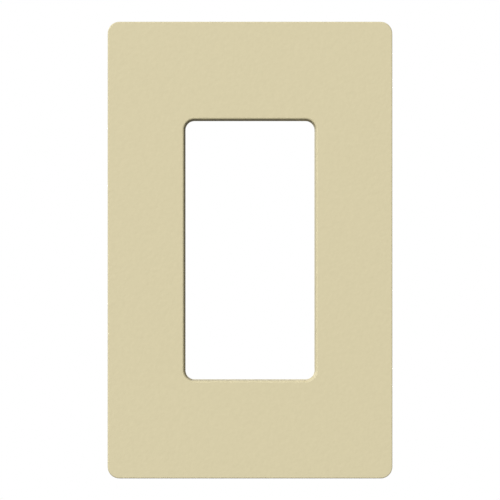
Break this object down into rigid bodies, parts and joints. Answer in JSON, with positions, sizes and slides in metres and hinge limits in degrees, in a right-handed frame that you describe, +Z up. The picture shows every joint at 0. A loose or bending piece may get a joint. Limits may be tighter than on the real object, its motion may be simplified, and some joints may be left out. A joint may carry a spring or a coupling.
{
  "type": "screwless wallplate",
  "caption": "Flat ivory plastic wall cover plate with a rectangular window, clipped over a hidden adapter frame that is screwed to a wiring device.",
  "frame": {"origin": "centre of the device window, in the plane of the wall; the centre of the two-screw pattern", "axes": "+X to the right seen from the room, +Y into the wall, +Z up; the visible face looks towards -Y"},
  "size_m": [0.0744, 0.0156, 0.1192],
  "materials": {
    "cover_plastic": "ivory, fine matte texture",
    "adapter_plastic": "ivory, smooth satin moulding",
    "screw_steel": "zinc plated",
    "washer_fibre": "red-brown vulcanised fibre"
  },
  "bodies": {
    "adapter": {"adapter_plate": "adapter_plastic"},
    "cover": {"front_cover": "cover_plastic"},
    "pawl_top_left": {"latch_pawl_top_left": "adapter_plastic"},
    "pawl_top_right": {"latch_pawl_top_right": "adapter_plastic"},
    "pawl_bottom_left": {"latch_pawl_bottom_left": "adapter_plastic"},
    "pawl_bottom_right": {"latch_pawl_bottom_right": "adapter_plastic"},
    "screw_top": {"adapter_screw_top": "screw_steel", "retaining_washer_top": "washer_fibre"},
    "screw_bottom": {"adapter_screw_bottom": "screw_steel", "retaining_washer_bottom": "washer_fibre"}
  },
  "joints": [
    {"name": "cover_pull", "type": "slide", "parent": "adapter", "child": "cover", "axis": [0, -1, 0], "range_m": [0, 0.012], "deforming": ["latch_pawl_top_left", "latch_pawl_top_right", "latch_pawl_bottom_left", "latch_pawl_bottom_right"]},
    {"name": "pawl_flex_top_left", "type": "hinge", "parent": "adapter", "child": "pawl_top_left", "pos_m": [-0.0172, -0.0022, 0.05265], "axis": [0, 1, 0], "range_deg": [0, 3.5], "stiffness_Nm_per_rad": 0.13},
    {"name": "pawl_flex_top_right", "type": "hinge", "parent": "adapter", "child": "pawl_top_right", "pos_m": [0.0172, -0.0022, 0.05265], "axis": [0, -1, 0], "range_deg": [0, 3.5], "stiffness_Nm_per_rad": 0.13},
    {"name": "pawl_flex_bottom_left", "type": "hinge", "parent": "adapter", "child": "pawl_bottom_left", "pos_m": [-0.0172, -0.0022, -0.05265], "axis": [0, -1, 0], "range_deg": [0, 3.5], "stiffness_Nm_per_rad": 0.13},
    {"name": "pawl_flex_bottom_right", "type": "hinge", "parent": "adapter", "child": "pawl_bottom_right", "pos_m": [0.0172, -0.0022, -0.05265], "axis": [0, 1, 0], "range_deg": [0, 3.5], "stiffness_Nm_per_rad": 0.13},
    {"name": "screw_turn_top", "type": "hinge", "parent": "adapter", "child": "screw_top", "pos_m": [0, 0, 0.04842], "axis": [0, 1, 0], "continuous": true},
    {"name": "screw_turn_bottom", "type": "hinge", "parent": "adapter", "child": "screw_bottom", "pos_m": [0, 0, -0.04842], "axis": [0, 1, 0], "continuous": true}
  ]
}
